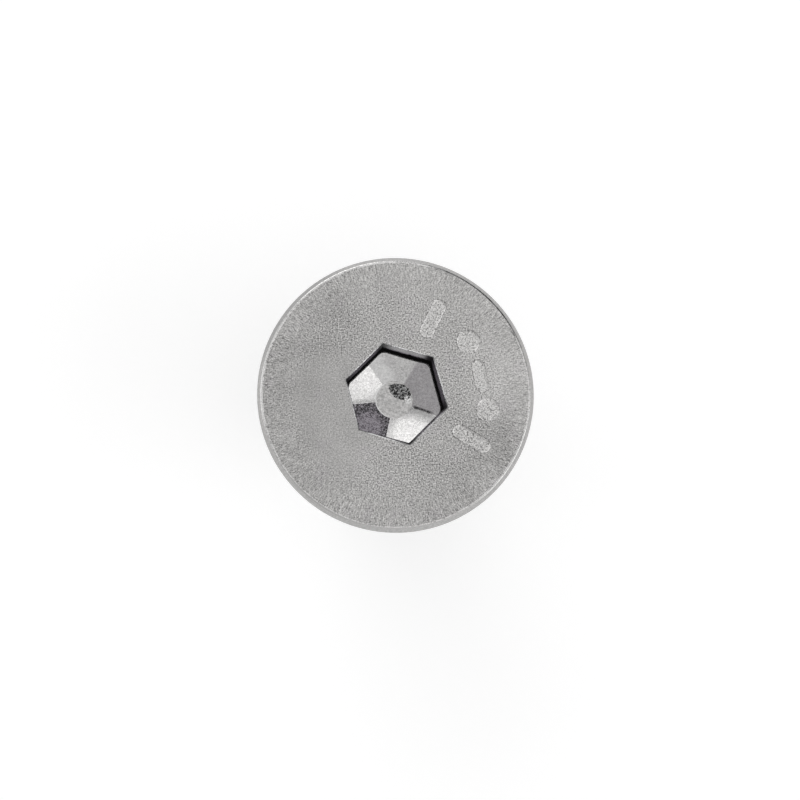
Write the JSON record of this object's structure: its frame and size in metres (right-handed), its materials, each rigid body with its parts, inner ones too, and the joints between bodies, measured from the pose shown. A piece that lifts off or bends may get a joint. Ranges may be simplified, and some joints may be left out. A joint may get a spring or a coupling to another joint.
{
  "type": "countersunk socket screw",
  "caption": "Short metric machine screw with a flat countersunk head, a hexagonal key socket in its top and a right-hand thread along its shank.",
  "frame": {"origin": "centre of the flat end face of the thread, on which the screw stands", "axes": "+Z along the screw's axis from the thread's end to the top of the head; X and Y across it, with a corner of the socket's hexagon at 45 degrees between them"},
  "size_m": [0.0158, 0.0158, 0.02],
  "materials": {
    "steel": "dull grey steel with a fine grain on the head and a brighter rim and socket floor"
  },
  "bodies": {
    "root": {"countersunk_screw": "steel"}
  },
  "joints": []
}
